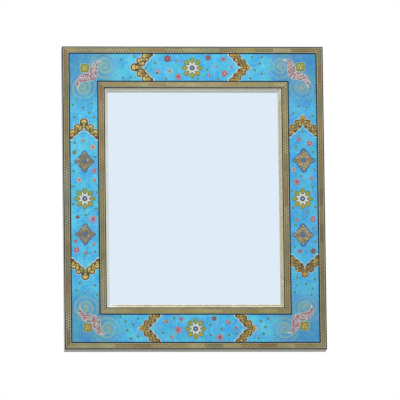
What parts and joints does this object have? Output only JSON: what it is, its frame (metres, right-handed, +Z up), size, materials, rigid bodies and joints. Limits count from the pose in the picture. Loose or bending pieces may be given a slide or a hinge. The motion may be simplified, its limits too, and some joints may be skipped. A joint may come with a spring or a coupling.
{
  "type": "inlaid wall mirror",
  "caption": "Rectangular wall mirror: mitred wooden frame faced with micro-mosaic bands and painted lacquered panels, a gilt slip, and at the back turn buttons and a swinging hanger ring.",
  "frame": {"origin": "centre of the frame: midway across its width, its height and its depth", "axes": "+X to the right as one faces the glass, +Z up, and the face looks along -Y, so +Y points to the wall"},
  "size_m": [0.35, 0.024, 0.41],
  "materials": {
    "khatam": "micro-mosaic of wood, bone and brass under clear lacquer, polished",
    "ebonised_line": "ebonised wood under clear lacquer",
    "painted_field": "painted sky blue with gilt and coloured ornament, gloss lacquer",
    "gilt_slip": "pale gold leaf on gesso, burnished",
    "pine_core": "planed, stained and oiled",
    "beech_spline": "sawn",
    "mirror_glass": "silvered float glass",
    "guard_card": "grey paper board",
    "backing_plywood": "sanded plywood",
    "brass": "rolled, lightly tarnished",
    "steel_screw": "nickel plated, satin"
  },
  "bodies": {
    "root": {"edge_line_top": "ebonised_line", "edge_line_right": "ebonised_line", "edge_line_bottom": "ebonised_line", "edge_line_left": "ebonised_line", "outer_khatam_top": "khatam", "outer_khatam_right": "khatam", "outer_khatam_bottom": "khatam", "outer_khatam_left": "khatam", "field_outer_line_top": "ebonised_line", "field_outer_line_right": "ebonised_line", "field_outer_line_bottom": "ebonised_line", "field_outer_line_left": "ebonised_line", "painted_panel_top": "painted_field", "painted_panel_right": "painted_field", "painted_panel_bottom": "painted_field", "painted_panel_left": "painted_field", "field_inner_line_top": "ebonised_line", "field_inner_line_right": "ebonised_line", "field_inner_line_bottom": "ebonised_line", "field_inner_line_left": "ebonised_line", "inner_khatam_top": "khatam", "inner_khatam_right": "khatam", "inner_khatam_bottom": "khatam", "inner_khatam_left": "khatam", "sight_line_top": "ebonised_line", "sight_line_right": "ebonised_line", "sight_line_bottom": "ebonised_line", "sight_line_left": "ebonised_line", "side_khatam_top": "khatam", "side_khatam_right": "khatam", "side_khatam_bottom": "khatam", "side_khatam_left": "khatam", "gilt_slip_top": "gilt_slip", "gilt_slip_right": "gilt_slip", "gilt_slip_bottom": "gilt_slip", "gilt_slip_left": "gilt_slip", "corner_spline_top_left": "beech_spline", "corner_spline_top_right": "beech_spline", "corner_spline_bottom_right": "beech_spline", "corner_spline_bottom_left": "beech_spline", "core_rail_top": "pine_core", "core_rail_bottom": "pine_core", "core_stile_left": "pine_core", "core_stile_right": "pine_core", "mirror_glass": "mirror_glass", "guard_sheet": "guard_card", "backing_board": "backing_plywood", "turn_screw_left_upper": "steel_screw", "turn_screw_left_lower": "steel_screw", "turn_screw_right_upper": "steel_screw", "turn_screw_right_lower": "steel_screw", "hanger_plate": "brass", "hanger_screw_left": "steel_screw", "hanger_screw_right": "steel_screw"},
    "button_left_upper": {"turn_button_left_upper": "brass"},
    "button_left_lower": {"turn_button_left_lower": "brass"},
    "button_right_upper": {"turn_button_right_upper": "brass"},
    "button_right_lower": {"turn_button_right_lower": "brass"},
    "ring": {"hanger_ring": "brass"}
  },
  "joints": [
    {"name": "turn_left_upper", "type": "hinge", "parent": "root", "child": "button_left_upper", "pos_m": [-0.12775, 0.006, 0.08], "axis": [0, 1, 0], "range_deg": [-90, 90]},
    {"name": "turn_left_lower", "type": "hinge", "parent": "root", "child": "button_left_lower", "pos_m": [-0.12775, 0.006, -0.08], "axis": [0, 1, 0], "range_deg": [-90, 90]},
    {"name": "turn_right_upper", "type": "hinge", "parent": "root", "child": "button_right_upper", "pos_m": [0.12775, 0.006, 0.08], "axis": [0, 1, 0], "range_deg": [-90, 90]},
    {"name": "turn_right_lower", "type": "hinge", "parent": "root", "child": "button_right_lower", "pos_m": [0.12775, 0.006, -0.08], "axis": [0, 1, 0], "range_deg": [-90, 90]},
    {"name": "ring_swing", "type": "hinge", "parent": "root", "child": "ring", "pos_m": [0, 0.00915, 0.18], "axis": [1, 0, 0], "range_deg": [0, 180]}
  ]
}
